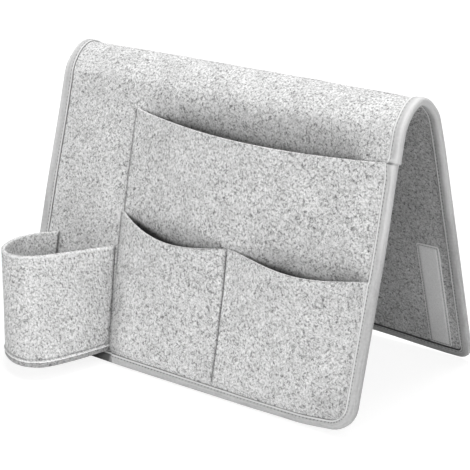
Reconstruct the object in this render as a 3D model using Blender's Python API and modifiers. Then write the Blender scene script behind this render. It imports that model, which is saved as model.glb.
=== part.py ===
# Pocket storage bag: a felt saddle bag that lies over a rail or an armrest.
# Metres, +Z up. It stands on the bottom edges of its two flaps, on z = 0. The pocket side faces -Y.
# X and Y are zero at the middle of its outline, seen from above.
import math

import bmesh
import bpy
from mathutils import Matrix, Vector

MM = 0.001

# Cloth layers
felt = 3.0 * MM
tape = 0.7 * MM
touch_gap = 0.3 * MM
sewn_squeeze = 0.2 * MM
squeeze_run = 0.5 * MM

# The folded sheet and its edge tape
panel_width = 320.0 * MM
front_drop = 220.0 * MM
front_lean = math.radians(15.5)
back_lean = math.radians(17.65)
fold_radius = 25.6 * MM
side_band = 9.5 * MM
bottom_band = 8.0 * MM
corner_radius = 19.0 * MM
half_band = felt / 2 + touch_gap + tape
half_felt = felt / 2

# Pockets: places across the panel are from its left edge, places down it from the fold line
pocket_left = 80.8 * MM
pocket_left_slant = 13.2 * MM
pocket_sewn_margin = 3.0 * MM
large_mouth = 17.0 * MM
large_mouth_fall = 3.0 * MM
large_mouth_scoop = 6.7 * MM
large_bulge = 22.0 * MM
phone_mouth = 99.0 * MM
phone_mouth_fall = 6.0 * MM
phone_mouth_far_fall = 2.0 * MM
left_phone_scoop = 9.5 * MM
right_phone_scoop = 5.5 * MM
phone_divider_share = 0.502
left_phone_bulge = 14.0 * MM
right_phone_bulge = 19.5 * MM

# Cup holder: plan places are shares of the distance between its seams and of its reach from the panel
cup_back_seam = 18.0 * MM
cup_rim_front_seam = 80.0 * MM
cup_base_front_seam = 90.5 * MM
cup_reach = 65.5 * MM
cup_rim_height = 88.7 * MM
cup_base_height = 9.3 * MM
cup_seam_rise = 1.5 * MM
rim_plan_shares = ((0.0, 0.0), (-0.17, 0.22), (-0.26, 0.56), (-0.12, 0.90),
                   (0.17, 1.0), (0.45, 0.86), (0.70, 0.50), (1.0, 0.0))
base_plan_shares = ((0.0, 0.0), (-0.03, 0.30), (0.0, 0.58), (0.14, 0.84),
                    (0.45, 1.0), (0.72, 0.90), (0.88, 0.52), (1.0, 0.0))

# Hook-and-loop strips
strip_width = 20.0 * MM
strip_thick = 1.2 * MM
strip_inset = 4.5 * MM
strip_top = 115.5 * MM
strip_foot_gap = 1.3 * MM
strip_corner = 2.0 * MM
strip_seam_inset = 2.0 * MM

# Sewing thread
thread_radius = 0.3 * MM
band_seam_inset = 2.0 * MM
pocket_seam_inset = 1.8 * MM
fold_clearance = 4.0 * MM
thread_lift = touch_gap + thread_radius
divider_extra_lift = 0.25 * MM

# Shape counts and the shares of a pocket's sag
round_steps = 6
corner_steps = 6
arc_steps = 14
leg_steps = 6
bottom_steps = 8
pocket_columns = 14
divider_column = 6
pocket_rows = 10
cup_steps = 4
cup_rows = 4
seam_steps = 12
bulge_power = 0.85
scoop_power = 1.1
large_fade_power = 1.75
phone_fade_power = 1.4
edge_slant_power = 1.6

half_width = panel_width / 2
sheet_right = panel_width - side_band - touch_gap
felt_edge = tape + touch_gap
phone_divider = pocket_left + (sheet_right - pocket_left) * phone_divider_share


def round_angles(count):
    """Angles of a half-round edge, from one face of the sheet round to the other."""
    return [math.pi * (k / count - 0.5) for k in range(count + 1)]


def edge_reach(lean):
    """How far the half-round bottom edge reaches below its own centre when the flap leans."""
    return max(half_band * math.cos(a + lean) for a in round_angles(round_steps))


# Heights: both flaps' lowest points are on z = 0
front_fold_z = (front_drop - half_band) * math.cos(front_lean) + edge_reach(front_lean)
axis_z = front_fold_z - fold_radius * math.sin(front_lean)
back_fold_z = axis_z + fold_radius * math.sin(back_lean)
back_drop = half_band + (back_fold_z - edge_reach(back_lean)) / math.cos(back_lean)


def front_face(height):
    """Distance of the front panel's outer felt face from the fold's axis, at a height."""
    return (fold_radius + half_felt + (axis_z - height) * math.sin(front_lean)) / math.cos(front_lean)


def smooth_points(points, steps):
    """Catmull-Rom curve through plan points, with the ends carried straight on."""
    before = [2 * a - b for a, b in zip(points[0], points[1])]
    after = [2 * a - b for a, b in zip(points[-1], points[-2])]
    keys = [before, *points, after]
    found = []
    for i in range(1, len(keys) - 2):
        p0, p1, p2, p3 = keys[i - 1:i + 3]
        for k in range(steps):
            t = k / steps
            found.append([0.5 * (2 * b + (c - a) * t + (2 * a - 5 * b + 4 * c - d) * t ** 2
                                 + (3 * b - a - 3 * c + d) * t ** 3) for a, b, c, d in zip(p0, p1, p2, p3)])
    found.append(list(points[-1]))
    return found


def cup_loop(shares, front_seam, height):
    """The cup wall's outer outline at a height: x, and the distance forward of the fold's axis."""
    span = front_seam - cup_back_seam
    points = [(cup_back_seam - half_width + a * span, b * cup_reach) for a, b in shares]
    return [(x, front_face(height) + out) for x, out in smooth_points(points, cup_steps)]


rim_loop = cup_loop(rim_plan_shares, cup_rim_front_seam, cup_rim_height)
base_loop = cup_loop(base_plan_shares, cup_base_front_seam, cup_base_height)
front_reach = max(y for x, y in rim_loop + base_loop)
back_reach = (fold_radius * math.cos(back_lean) + (back_drop - half_band) * math.sin(back_lean)
              + max(half_band * math.sin(back_lean - a) for a in round_angles(round_steps)))
axis_y = (front_reach - back_reach) / 2


def clear_scene():
    for item in list(bpy.data.objects):
        bpy.data.objects.remove(item, do_unlink=True)


def new_collection(name):
    group = bpy.data.collections.new(name)
    bpy.context.scene.collection.children.link(group)
    return group


def new_material(name, shade, roughness):
    mat = bpy.data.materials.new(name)
    mat.use_nodes = True
    shader = mat.node_tree.nodes["Principled BSDF"]
    shader.inputs["Base Color"].default_value = (shade, shade, shade, 1.0)
    shader.inputs["Roughness"].default_value = roughness
    shader.inputs["Metallic"].default_value = 0.0
    return mat


def add_object(name, data, mat, parent, group, in_world=False):
    item = bpy.data.objects.new(name, data)
    group.objects.link(item)
    if mat:
        data.materials.append(mat)
    item.parent = parent
    if parent and in_world:
        item.matrix_parent_inverse = parent.matrix_world.inverted()
    return item


def add_pivot(name, backward, height, turn, group):
    """An empty on a fold line; its local Y runs up the flap and its X is the bag's X."""
    empty = bpy.data.objects.new(name, None)
    group.objects.link(empty)
    empty.location = (0.0, axis_y + backward, height)
    empty.rotation_euler = (turn, 0.0, 0.0)
    bpy.context.view_layer.update()
    return empty


def add_sheet(name, columns, rows, place, thick, outward, mat, parent, group, in_world=False):
    """A cloth layer: a grid laid by place(a, b), then given its thickness."""
    bm = bmesh.new()
    bmesh.ops.create_grid(bm, x_segments=columns, y_segments=rows, size=1.0)
    for vert in bm.verts:
        a = round((vert.co.x + 1) / 2 * columns)
        b = round((vert.co.y + 1) / 2 * rows)
        vert.co = place(a, b)
    data = bpy.data.meshes.new(name)
    bm.to_mesh(data)
    bm.free()
    item = add_object(name, data, mat, parent, group, in_world)
    shell = item.modifiers.new("thickness", "SOLIDIFY")
    shell.thickness = thick
    shell.offset = 1.0 if outward else -1.0
    shell.use_even_offset = True
    return item


def add_plate(name, outline, thick, mat, parent, group):
    """A flat cloth piece with half-round edges."""
    data = bpy.data.curves.new(name, "CURVE")
    data.dimensions = "2D"
    data.fill_mode = "BOTH"
    data.bevel_depth = thick / 2
    data.offset = -thick / 2
    data.bevel_resolution = 2
    spline = data.splines.new("POLY")
    spline.points.add(len(outline) - 1)
    for point, (x, y) in zip(spline.points, outline):
        point.co = (x, y, 0.0, 1.0)
    spline.use_cyclic_u = True
    return add_object(name, data, mat, parent, group)


def add_thread(name, route, mat, parent, group, closed=False, in_world=False):
    data = bpy.data.curves.new(name, "CURVE")
    data.dimensions = "3D"
    data.bevel_depth = thread_radius
    data.bevel_resolution = 0
    data.use_fill_caps = not closed
    spline = data.splines.new("POLY")
    spline.points.add(len(route) - 1)
    for point, place in zip(spline.points, route):
        point.co = (*place, 1.0)
    spline.use_cyclic_u = closed
    return add_object(name, data, mat, parent, group, in_world)


def band_route(drop, start):
    """Stations down the left edge, round the bottom and up the right edge.

    Each has the outer edge's place, the direction into the panel and the band's width there.
    """
    low = -drop + corner_radius
    side = half_width - corner_radius
    route = []
    for k in range(leg_steps):
        route.append(((-half_width, start + (low - start) * k / leg_steps), (1.0, 0.0), side_band))
    for k in range(corner_steps + 1):
        a = math.pi + math.pi / 2 * k / corner_steps
        way = (math.cos(a), math.sin(a))
        width = side_band + (bottom_band - side_band) * k / corner_steps
        edge = (-side + corner_radius * way[0], low + corner_radius * way[1])
        route.append((edge, (-way[0], -way[1]), width))
    for k in range(1, bottom_steps):
        route.append(((-side + 2 * side * k / bottom_steps, -drop), (0.0, 1.0), bottom_band))
    left = route[:leg_steps + corner_steps + 1]
    return route + [((-x, y), (-dx, dy), width) for (x, y), (dx, dy), width in reversed(left)]


def band_section():
    """The folded tape's outer outline: distance in from the edge, None at the legs' ends, and height."""
    angles = round_angles(round_steps)
    rounds = [(half_band - half_band * math.cos(a), half_band * math.sin(a)) for a in angles]
    return [(None, -half_band), *rounds, (None, half_band)]


def add_flap_band(name, drop, mat, parent, group):
    route = band_route(drop, 0.0)
    section = band_section()
    last = len(route) - 1

    def place(a, b):
        (x, y), (dx, dy), width = route[a]
        depth, lift = section[b]
        depth = width if depth is None else depth
        crown = math.sqrt(max(half_band ** 2 - lift ** 2, 0.0)) if a in (0, last) else 0.0
        return Vector((x + dx * depth, y + dy * depth + crown, lift))

    return add_sheet(name, last, len(section) - 1, place, tape, False, mat, parent, group)


def panel_outline(drop, inset):
    """The felt's outline: rounded at the bottom, and reaching half its thickness past the fold line."""
    radius = corner_radius - felt_edge - inset
    side = half_width - corner_radius
    low = -drop + corner_radius
    points = [(-side - radius, half_felt - inset)]
    for k in range(corner_steps + 1):
        a = math.pi + math.pi / 2 * k / corner_steps
        points.append((-side + radius * math.cos(a), low + radius * math.sin(a)))
    return points + [(-x, y) for x, y in reversed(points)]


def add_panel(name, drop, mat, parent, group):
    """A flap's felt: thinner and half-round along its sewn margin, full thickness in its open field."""
    sewn_half = half_felt - sewn_squeeze
    margin = side_band - felt_edge + touch_gap
    steps = [(sewn_half * (1 - math.cos(a)), sewn_half * math.sin(a)) for a in round_angles(round_steps)]
    field = [(margin, sewn_half), (margin + squeeze_run, half_felt)]
    steps = [(inset, -lift) for inset, lift in reversed(field)] + steps + field
    bm = bmesh.new()
    rings = []
    for inset, lift in steps:
        rings.append([bm.verts.new((x, y, lift)) for x, y in panel_outline(drop, inset)])
    for lower, upper in zip(rings, rings[1:]):
        for k in range(len(lower)):
            bm.faces.new((lower[k - 1], lower[k], upper[k], upper[k - 1]))
    bm.faces.new(rings[0])
    bm.faces.new(rings[-1])
    bmesh.ops.recalc_face_normals(bm, faces=bm.faces)
    data = bpy.data.meshes.new(name)
    bm.to_mesh(data)
    bm.free()
    return add_object(name, data, mat, parent, group)


def rounded_box(left, right, low, high, radius):
    points = []
    corners = ((right - radius, high - radius, 0.0), (left + radius, high - radius, 0.5),
               (left + radius, low + radius, 1.0), (right - radius, low + radius, 1.5))
    for x, y, turn in corners:
        for k in range(corner_steps // 2 + 1):
            a = math.pi * turn + math.pi / 2 * k / (corner_steps // 2)
            points.append((x + radius * math.cos(a), y + radius * math.sin(a)))
    return points


# The front panel's pocket sheets, in the flap's own frame: x across, s down the flap, heights from its middle
sheet_bottom = front_drop - bottom_band - touch_gap
corner_start = front_drop - corner_radius


def left_edge(s):
    share = max(s - large_mouth, 0.0) / (sheet_bottom - large_mouth)
    return pocket_left + pocket_left_slant * share ** edge_slant_power


def right_edge(s):
    """The pocket sheets' right edge, which turns with the tape at the flap's corner."""
    wide = corner_radius - side_band - touch_gap
    high = corner_radius - bottom_band - touch_gap
    share = min(max(s - corner_start, 0.0) / high, 1.0)
    return sheet_right - wide * (1 - math.sqrt(1 - share ** 2))


def column_place(a, s):
    """A column's distance from the panel's left edge; the margins are flat and one column is the divider."""
    left = left_edge(s)
    if a == 0:
        return left
    if a == pocket_columns:
        return right_edge(s)
    first = left + pocket_sewn_margin
    final = right_edge(s) - pocket_sewn_margin
    if a <= divider_column:
        return first + (phone_divider - first) * (a - 1) / (divider_column - 1)
    share = (a - divider_column) / (pocket_columns - 1 - divider_column)
    return phone_divider + (final - phone_divider) * share


def swell(place, first, final, power=bulge_power):
    """A pocket's bulge across its width: none at the seams, most in the middle."""
    share = min(max((place - first) / (final - first), 0.0), 1.0)
    return math.sin(math.pi * share) ** power


def fade(s, mouth, power):
    """How a pocket's bulge dies away down the flap."""
    final = sheet_bottom - pocket_sewn_margin
    return min(max((final - s) / (final - mouth), 0.0), 1.0) ** power


def large_swell(place, s):
    return swell(place, left_edge(s) + pocket_sewn_margin, right_edge(s) - pocket_sewn_margin)


def large_inner(place, s):
    """Height of the large pocket's inner face above the middle of the front panel."""
    own = large_bulge * large_swell(place, s) * fade(s, large_mouth, large_fade_power)
    return half_felt + touch_gap + own


def phone_swell(place, s, power=bulge_power):
    if place <= phone_divider:
        return swell(place, left_edge(s) + pocket_sewn_margin, phone_divider, power)
    return swell(place, phone_divider, right_edge(s) - pocket_sewn_margin, power)


def phone_inner(place, s):
    bulge = left_phone_bulge if place <= phone_divider else right_phone_bulge
    own = bulge * phone_swell(place, s) * fade(s, phone_mouth, phone_fade_power)
    return large_inner(place, s) + felt + touch_gap + own


def large_mouth_line(place):
    across = (place - pocket_left) / (sheet_right - pocket_left)
    return large_mouth + large_mouth_fall * across + large_mouth_scoop * large_swell(place, large_mouth)


def phone_mouth_line(place):
    """The small pockets' mouth falls to the divider and a little more from there to the tape."""
    left = left_edge(phone_mouth)
    across = min(max((place - left) / (phone_divider - left), 0.0), 1.0)
    beyond = max(place - phone_divider, 0.0) / (sheet_right - phone_divider)
    scoop = left_phone_scoop if place <= phone_divider else right_phone_scoop
    dip = scoop * phone_swell(place, phone_mouth, scoop_power)
    return phone_mouth + phone_mouth_fall * across + phone_mouth_far_fall * beyond + dip


def add_pocket(name, mouth_line, top, inner, mat, parent, group):
    def place(a, b):
        start = mouth_line(column_place(a, top))
        lowest = (sheet_bottom, sheet_bottom - pocket_sewn_margin)
        s = lowest[b] if b < 2 else corner_start + (start - corner_start) * (b - 2) / (pocket_rows - 2)
        across = column_place(a, s)
        return Vector((across - half_width, -s, inner(across, s)))

    return add_sheet(name, pocket_columns, pocket_rows, place, felt, True, mat, parent, group)


def cut_away(item, cutter):
    cut = item.modifiers.new("seat", "BOOLEAN")
    cut.operation = "DIFFERENCE"
    cut.object = cutter


def add_block(name, size, centre, parent, group):
    """A box that cuts other pieces and is left out of the bag."""
    data = bpy.data.meshes.new(name)
    bm = bmesh.new()
    bmesh.ops.create_cube(bm, size=1.0, matrix=Matrix.Translation(centre) @ Matrix.Diagonal((*size, 1.0)))
    bm.to_mesh(data)
    bm.free()
    block = add_object(name, data, None, parent, group)
    block.hide_render = True
    block.display_type = "WIRE"
    return block


def add_ridge(mats, group):
    felt_mat, tape_mat, thread_mat = mats
    rig = add_pivot("ridge_axis", 0.0, axis_z, 0.0, group)

    def arc_place(x, angle, radius):
        return Vector((x, -math.cos(angle) * radius, math.sin(angle) * radius))

    def arc_angles(clear, steps):
        """Angles from the front fold over the top to the back fold, short of each by a clearance."""
        short = math.asin(clear / fold_radius)
        first = front_lean + short
        final = math.pi - back_lean - short
        return [first + (final - first) * k / steps for k in range(steps + 1)]

    open_edge = half_width - side_band - touch_gap
    under_tape = arc_angles(half_band + touch_gap, arc_steps)
    between = arc_angles(half_felt + touch_gap, arc_steps)
    columns = [(half_width - half_band, under_tape), (open_edge, under_tape), (open_edge - touch_gap, between)]
    columns = [(-x, angles) for x, angles in columns] + columns[::-1]

    def felt_place(a, b):
        x, angles = columns[a]
        return arc_place(x, angles[b], fold_radius + half_felt)

    add_sheet("ridge_felt", len(columns) - 1, arc_steps, felt_place, felt, False, felt_mat, rig, group)
    band_angles = arc_angles(half_band + touch_gap, arc_steps)
    section = band_section()
    seam_angles = arc_angles(fold_clearance, arc_steps)
    for side, name in ((-1, "left"), (1, "right")):
        angles = band_angles[::-1] if side < 0 else band_angles

        def band_place(a, b, side=side, angles=angles):
            depth, lift = section[b]
            depth = side_band if depth is None else depth
            return arc_place(side * (half_width - depth), angles[a], fold_radius + lift)

        add_sheet("ridge_binding_" + name, arc_steps, len(section) - 1, band_place, tape, False,
                  tape_mat, rig, group)
        seam_x = side * (half_width - side_band + band_seam_inset)
        for face, word in ((1, "outer"), (-1, "inner")):
            radius = fold_radius + face * (half_band + thread_lift)
            route = [arc_place(seam_x, a, radius) for a in seam_angles]
            add_thread("ridge_thread_" + word + "_" + name, route, thread_mat, rig, group)


def add_band_threads(prefix, drop, mat, parent, group):
    """The lockstitch of the edge tape: one thread on each face."""
    for face, word in ((1, "upper"), (-1, "under")):
        route = []
        for (x, y), (dx, dy), width in band_route(drop, -fold_clearance):
            depth = width - band_seam_inset
            route.append((x + dx * depth, y + dy * depth, face * (half_band + thread_lift)))
        add_thread(prefix + "_binding_thread_" + word, route, mat, parent, group)


def add_strip(name, side, face, drop, mats, parent, group):
    """A hook-and-loop strip with its sewing thread, on one face of a flap."""
    strip_mat, thread_mat = mats
    outer = half_width - side_band - strip_inset
    low = -drop + bottom_band + touch_gap + strip_foot_gap
    left, right = sorted((side * outer, side * (outer - strip_width)))
    outline = rounded_box(left, right, low, -strip_top, strip_corner)
    strip = add_plate(name, outline, strip_thick, strip_mat, parent, group)
    strip.location.z = face * (half_felt + touch_gap + strip_thick / 2)
    height = face * (half_felt + touch_gap + strip_thick + thread_lift)
    inset = strip_seam_inset
    seam = rounded_box(left + inset, right - inset, low + inset, -strip_top - inset, strip_corner / 2)
    add_thread(name + "_thread", [(x, y, height) for x, y in seam], thread_mat, parent, group, closed=True)


def add_pockets(mats, parent, group):
    felt_mat, thread_mat = mats
    add_pocket("large_pocket_felt", large_mouth_line, large_mouth, large_inner, felt_mat, parent, group)
    add_pocket("phone_pocket_felt", phone_mouth_line, phone_mouth, phone_inner, felt_mat, parent, group)

    def seam_route(across, first, final, inner, extra=0.0):
        route = []
        for k in range(seam_steps + 1):
            s = first + (final - first) * k / seam_steps
            place = across(s)
            route.append((place - half_width, -s, inner(place, s) + felt + thread_lift + extra))
        return route

    def edge_seam(s):
        return left_edge(s) + pocket_seam_inset

    def divider_seam(s):
        return phone_divider

    ease = pocket_seam_inset
    upper = seam_route(edge_seam, large_mouth + ease, phone_mouth - ease, large_inner)
    lower = seam_route(edge_seam, phone_mouth + ease, sheet_bottom - ease, phone_inner)
    divider_top = phone_mouth_line(phone_divider) + ease
    middle = seam_route(divider_seam, divider_top, sheet_bottom - ease, phone_inner, divider_extra_lift)
    add_thread("large_pocket_thread", upper, thread_mat, parent, group)
    add_thread("phone_pocket_thread", lower, thread_mat, parent, group)
    add_thread("divider_thread", middle, thread_mat, parent, group)


def add_cup(mats, parent, group, cutters):
    """The felt loop and its flat base, cut to seat on the leaning panel."""
    felt_mat, thread_mat = mats
    deep = half_felt + touch_gap
    inside = (0.0, 0.0, deep - cup_reach / 2)
    seat = add_block("cup_seat_cutter", (panel_width, 2 * front_drop, cup_reach), inside, parent, cutters)
    base_top = cup_base_height + felt
    wall_low = base_top + touch_gap
    wall_start = wall_low - felt
    under = (0.0, axis_y - front_reach, wall_low - cup_reach)
    floor_size = (2 * panel_width, 2 * front_reach, 2 * cup_reach)
    floor = add_block("cup_floor_cutter", floor_size, under, None, cutters)

    def wall_point(a, height):
        """The ruled wall between the rim's outline and the base's; its ends run on into the seat."""
        share = (height - cup_base_height) / (cup_rim_height - cup_base_height)
        x = base_loop[a][0] + (rim_loop[a][0] - base_loop[a][0]) * share
        y = base_loop[a][1] + (rim_loop[a][1] - base_loop[a][1]) * share
        return Vector((x, axis_y - y, height))

    last = len(rim_loop) - 1

    def wall_place(a, b):
        height = wall_start + (cup_rim_height - wall_start) * b / cup_rows
        run_in = felt if a in (0, last) else 0.0
        return wall_point(a, height) + Vector((0.0, run_in, 0.0))

    wall = add_sheet("cup_wall_felt", last, cup_rows, wall_place, felt, False,
                     felt_mat, parent, group, in_world=True)
    cut_away(wall, floor)
    cut_away(wall, seat)
    outline = [(x, axis_y - y) for x, y in base_loop]
    outline = [(outline[0][0], outline[0][1] + felt), *outline, (outline[-1][0], outline[-1][1] + felt)]
    bm = bmesh.new()
    bottom = bm.faces.new([bm.verts.new((x, y, cup_base_height)) for x, y in outline])
    grown = bmesh.ops.extrude_face_region(bm, geom=[bottom], use_keep_orig=True)
    lifted = [item for item in grown["geom"] if isinstance(item, bmesh.types.BMVert)]
    bmesh.ops.translate(bm, vec=(0.0, 0.0, felt), verts=lifted)
    bmesh.ops.recalc_face_normals(bm, faces=bm.faces)
    data = bpy.data.meshes.new("cup_base_felt")
    bm.to_mesh(data)
    bm.free()
    base = add_object("cup_base_felt", data, felt_mat, parent, group, in_world=True)
    cut_away(base, seat)
    seam_height = wall_low + cup_seam_rise
    route = []
    for a in range(1, last):
        along = wall_point(a + 1, seam_height) - wall_point(a - 1, seam_height)
        outward = Vector((along.y, -along.x, 0.0)).normalized()
        route.append(wall_point(a, seam_height) + outward * thread_lift)
    add_thread("cup_base_thread", route, thread_mat, parent, group, in_world=True)


def build():
    clear_scene()
    parts = new_collection("pocket_storage_bag")
    cutters = new_collection("cutters")
    felt_mat = new_material("felt", 0.58, 0.95)
    tape_mat = new_material("tape", 0.52, 0.8)
    strip_mat = new_material("strip", 0.32, 0.9)
    thread_mat = new_material("thread", 0.7, 0.7)

    add_ridge((felt_mat, tape_mat, thread_mat), parts)
    front_place = -fold_radius * math.cos(front_lean)
    back_place = fold_radius * math.cos(back_lean)
    front = add_pivot("front_fold_axis", front_place, front_fold_z, math.pi / 2 - front_lean, parts)
    back = add_pivot("back_fold_axis", back_place, back_fold_z, math.pi / 2 + back_lean, parts)
    for word, pivot, drop, inside in (("front", front, front_drop, -1), ("back", back, back_drop, 1)):
        add_panel(word + "_panel_felt", drop, felt_mat, pivot, parts)
        add_flap_band(word + "_binding", drop, tape_mat, pivot, parts)
        add_band_threads(word, drop, thread_mat, pivot, parts)
        kind = "hook" if word == "front" else "loop"
        for side, name in ((-1, "left"), (1, "right")):
            add_strip(kind + "_strip_" + name, side, inside, drop, (strip_mat, thread_mat), pivot, parts)
    add_pockets((felt_mat, thread_mat), front, parts)
    add_cup((felt_mat, thread_mat), front, parts, cutters)


build()
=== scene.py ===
# Pocket storage bag, dressed: marled felt, sewn edge tape, pockets, cup loop and hook-and-loop strips.
# Metres, +Z up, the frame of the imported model. The pocket side faces -Y.
import math
import random

import bmesh
import bpy
import numpy as np
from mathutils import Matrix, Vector


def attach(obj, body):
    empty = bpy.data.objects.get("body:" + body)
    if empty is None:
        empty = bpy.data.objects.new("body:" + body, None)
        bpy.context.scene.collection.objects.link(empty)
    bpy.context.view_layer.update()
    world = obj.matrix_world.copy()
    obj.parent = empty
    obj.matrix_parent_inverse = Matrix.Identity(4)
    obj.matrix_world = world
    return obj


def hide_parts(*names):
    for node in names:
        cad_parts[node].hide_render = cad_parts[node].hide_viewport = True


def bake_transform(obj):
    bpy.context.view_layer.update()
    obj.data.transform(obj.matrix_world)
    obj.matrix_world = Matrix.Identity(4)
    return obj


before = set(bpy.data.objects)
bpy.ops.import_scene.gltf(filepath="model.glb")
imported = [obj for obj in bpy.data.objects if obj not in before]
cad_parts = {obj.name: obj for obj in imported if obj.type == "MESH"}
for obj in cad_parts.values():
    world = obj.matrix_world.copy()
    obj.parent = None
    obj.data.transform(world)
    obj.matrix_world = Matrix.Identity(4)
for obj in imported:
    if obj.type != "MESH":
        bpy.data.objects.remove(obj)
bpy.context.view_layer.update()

MM = 0.001

# Lengths: the model's own, but for the small shifts that the photograph shows
felt = 3.0 * MM
half_felt = felt / 2
panel_width = 320.0 * MM
half_width = panel_width / 2
front_drop = 220.0 * MM
back_drop = 223.386 * MM
front_lean = math.radians(15.5)
back_lean = math.radians(17.65)
fold_radius = 25.6 * MM
axis_y = 27.066 * MM
axis_z = 205.169 * MM
side_band = 9.5 * MM
bottom_band = 8.0 * MM
corner_radius = 19.0 * MM
back_corner_radius = 10.5 * MM
half_band = 2.5 * MM
touch_gap = 0.3 * MM

pocket_left = 80.8 * MM
pocket_left_slant = 13.2 * MM
edge_slant_power = 1.6
pocket_sewn_margin = 3.0 * MM
large_mouth = 17.0 * MM
large_mouth_fall = 3.0 * MM
large_mouth_scoop = 6.7 * MM
large_bulge = 22.0 * MM
phone_mouth = 99.0 * MM
phone_mouth_fall = 7.4 * MM
divider_top = phone_mouth + phone_mouth_fall
left_phone_scoop = 9.5 * MM
right_phone_scoop = 5.5 * MM
scoop_power = 1.1
left_phone_bulge = 14.0 * MM
right_phone_bulge = 19.5 * MM
sheet_right = panel_width - 7.1 * MM
sheet_bottom = front_drop - bottom_band - touch_gap
phone_divider = 195.96 * MM

cup_back_seam = 18.0 * MM
cup_rim_front_seam = 80.0 * MM
cup_base_front_seam = 90.5 * MM
cup_reach = 65.5 * MM
cup_rim_height = 88.7 * MM
cup_base_height = 9.3 * MM
cup_seam_rise = 2.1 * MM
rim_plan_shares = ((0.0, 0.0), (-0.17, 0.22), (-0.26, 0.56), (-0.12, 0.90),
                   (0.17, 1.0), (0.45, 0.86), (0.70, 0.50), (1.0, 0.0))
base_plan_shares = ((0.0, 0.0), (-0.03, 0.30), (0.0, 0.58), (0.14, 0.84),
                    (0.45, 1.0), (0.72, 0.90), (0.88, 0.52), (1.0, 0.0))

strip_width = 20.0 * MM
strip_thick = 1.2 * MM
strip_inset = 4.5 * MM
strip_top = 115.5 * MM
strip_foot_gap = 1.3 * MM
strip_extra = 1.6 * MM
strip_corner = 2.0 * MM
strip_border = 0.65 * MM

# Sewing
stitch_pitch = 3.1 * MM
thread_radius = 0.3 * MM
stitch_gap = 0.2
band_seam_inset = 1.6 * MM
pocket_seam_inset = 1.2 * MM
seam_bite = 0.42

tape_thick = 0.7 * MM
rib_pitch = 0.55 * MM
rim_reach = 1.8 * MM
tuck = 4.5 * MM

# How the cloth has settled: outward at the ridge, across and up or down on the flaps
crown_rise = 1.6 * MM
crown_arch = 0.7 * MM
shoulder_sink = 0.5 * MM
front_spread = 1.2 * MM
front_sag = 0.5 * MM
front_corner_lift = 3.4 * MM
back_spread = 1.6 * MM
back_middle_lift = 3.8 * MM
back_foot_lift = 1.5 * MM

# How far the layers sink behind a pocket's mouth: the sheet, and the large pocket at the left and right
sheet_sink = 9.0 * MM
left_sink = 5.2 * MM
right_sink = 5.0 * MM

# Painted shade in the cloth's colour, 0 to 1: inside the large mouth, and on the inner face under the ridge
painted_inside_shade = 0.66
painted_under_ridge_shade = 0.26

# The cloth's unevenness: height, seed and length of its waves
sheet_wave = (0.35 * MM, 11, 45.0 * MM)
pocket_wave = (0.25 * MM, 23, 60.0 * MM)
cup_wave = (0.3 * MM, 31, 40.0 * MM)

LEAN = {"front": front_lean, "back": back_lean}
SIGN = {"front": -1.0, "back": 1.0}
DROP = {"front": front_drop, "back": back_drop}
CORNER = {"front": corner_radius, "back": back_corner_radius}
CROWN = {side: -fold_radius * (math.pi / 2 - lean) for side, lean in LEAN.items()}

# The tape's width on a face: on a leg and along the bottom, and at the crown's left end
TAPE_WIDTHS = {"front": (9.0 * MM, 7.6 * MM), "back": (7.7 * MM, 7.0 * MM)}
left_crown_tape = 6.4 * MM


def smooth_step(low, high, value):
    t = np.clip((value - low) / (high - low), 0.0, 1.0)
    return t * t * (3 - 2 * t)


def step_mm(low, high, value):
    """A smooth step between two places in millimetres, of a value in metres."""
    return smooth_step(low * MM, high * MM, value)


def bell(offset, reach):
    """1 at an offset of zero, fading over a reach in millimetres."""
    return np.exp(-(offset / (reach * MM)) ** 2)


def settle(side, x, s):
    """How real cloth leaves the plain shape: small shifts across, down the flap and outward."""
    crown = step_mm(12, 34, -s)
    shoulder = step_mm(0, 14, -s) * (1 - crown)
    rise = (crown_rise + crown_arch * (1 - (x / half_width) ** 2)) * crown - shoulder_sink * shoulder
    if side == "front":
        corner = step_mm(110, 156, x) * step_mm(120, 205, s)
        sag = step_mm(-90, -50, x) * (1 - step_mm(60, 110, x)) * step_mm(150, 215, s)
        right = step_mm(70, 160, x) * step_mm(20, 90, s)
        left = step_mm(80, 160, -x) * step_mm(20, 100, s) * (1 - step_mm(150, 190, s))
        return front_spread * (right - left), front_sag * sag - front_corner_lift * corner, rise
    middle = (1 - step_mm(60, 150, np.abs(x))) * step_mm(100, 215, s)
    edge = step_mm(80, 160, x) * step_mm(-30, 30, s)
    return back_spread * edge, -back_middle_lift * middle - back_foot_lift * step_mm(185, 215, s), rise


def skin(side, x, s, h):
    """A place on the folded sheet: x across, s down from the fold line, h out from the felt's middle."""
    x, s, h = np.broadcast_arrays(x, s, h)
    across, down, rise = settle(side, x, s)
    x, s, h = x + across, s + down, h + rise
    lean = LEAN[side]
    angle = lean + np.maximum(-s, 0.0) / fold_radius
    run = np.maximum(s, 0.0)
    out = (fold_radius + h) * np.cos(angle) + run * math.sin(lean)
    up = (fold_radius + h) * np.sin(angle) - run * math.cos(lean)
    return np.stack([x, axis_y + SIGN[side] * out, axis_z + up], -1)


def ripple(x, s, height, seed, size):
    """A gentle unevenness of cloth, about as high as given: a few seeded plane waves."""
    pick = random.Random(seed)
    total = 0.0
    for _ in range(9):
        turn = pick.uniform(0, math.pi)
        wave = 2 * math.pi / (size * pick.uniform(0.6, 1.9))
        phase = pick.uniform(0, 2 * math.pi)
        total = total + np.sin(wave * (x * math.cos(turn) + s * math.sin(turn)) + phase)
    return height * (total / 4.5)


def run_length(points):
    """The length so far at each point of a route."""
    return np.concatenate([[0.0], np.cumsum(np.linalg.norm(np.diff(points, axis=0), axis=1))])


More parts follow.
